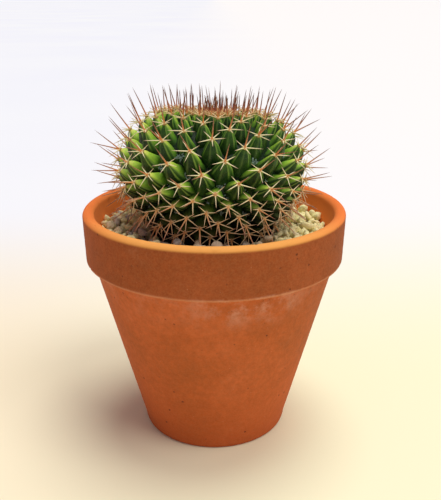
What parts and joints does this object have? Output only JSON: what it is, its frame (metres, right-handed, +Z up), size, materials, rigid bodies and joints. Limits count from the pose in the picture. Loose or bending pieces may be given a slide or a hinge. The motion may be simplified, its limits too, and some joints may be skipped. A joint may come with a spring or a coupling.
{
  "type": "potted round cactus",
  "caption": "Flattened round cactus with spiralling pointed tubercles and starry spines, in a banded terracotta pot dressed with pale pumice grit.",
  "frame": {"origin": "centre of the pot's flat base, where it stands", "axes": "+Z up along the pot's axis; -Y is the side shown to the viewer; +X to the viewer's right"},
  "size_m": [0.115, 0.115, 0.1577],
  "materials": {
    "terracotta": "unglazed, matt, slightly dusty",
    "soil": "damp, crumbly",
    "grit": "rough, porous",
    "skin": "waxy, half matt",
    "spine": "smooth, horny"
  },
  "bodies": {
    "root": {"cactus_stem": "skin", "grit_bed": "grit", "grit_stone_01": "grit", "grit_stone_02": "grit", "grit_stone_03": "grit", "grit_stone_04": "grit", "grit_stone_05": "grit", "grit_stone_06": "grit", "grit_stone_07": "grit", "grit_stone_08": "grit", "grit_stone_09": "grit", "grit_stone_10": "grit", "grit_stone_11": "grit", "grit_stone_12": "grit", "grit_stone_13": "grit", "grit_stone_14": "grit", "potting_soil": "soil", "spine_cluster_006": "spine", "spine_cluster_012": "spine", "spine_cluster_018": "spine", "spine_cluster_024": "spine", "spine_cluster_030": "spine", "spine_cluster_036": "spine", "spine_cluster_042": "spine", "spine_cluster_048": "spine", "spine_cluster_054": "spine", "spine_cluster_060": "spine", "spine_cluster_066": "spine", "spine_cluster_072": "spine", "spine_cluster_078": "spine", "spine_cluster_084": "spine", "spine_cluster_090": "spine", "spine_cluster_096": "spine", "spine_cluster_102": "spine", "spine_cluster_108": "spine", "spine_cluster_114": "spine", "spine_cluster_120": "spine", "spine_cluster_126": "spine", "spine_cluster_132": "spine", "spine_cluster_138": "spine", "spine_cluster_144": "spine", "spine_cluster_150": "spine", "spine_cluster_156": "spine", "spine_cluster_162": "spine", "spine_cluster_168": "spine", "spine_cluster_174": "spine", "spine_cluster_180": "spine", "spine_cluster_186": "spine", "spine_cluster_192": "spine", "spine_cluster_198": "spine", "spine_cluster_204": "spine", "spine_cluster_210": "spine", "terracotta_pot": "terracotta"}
  },
  "joints": []
}
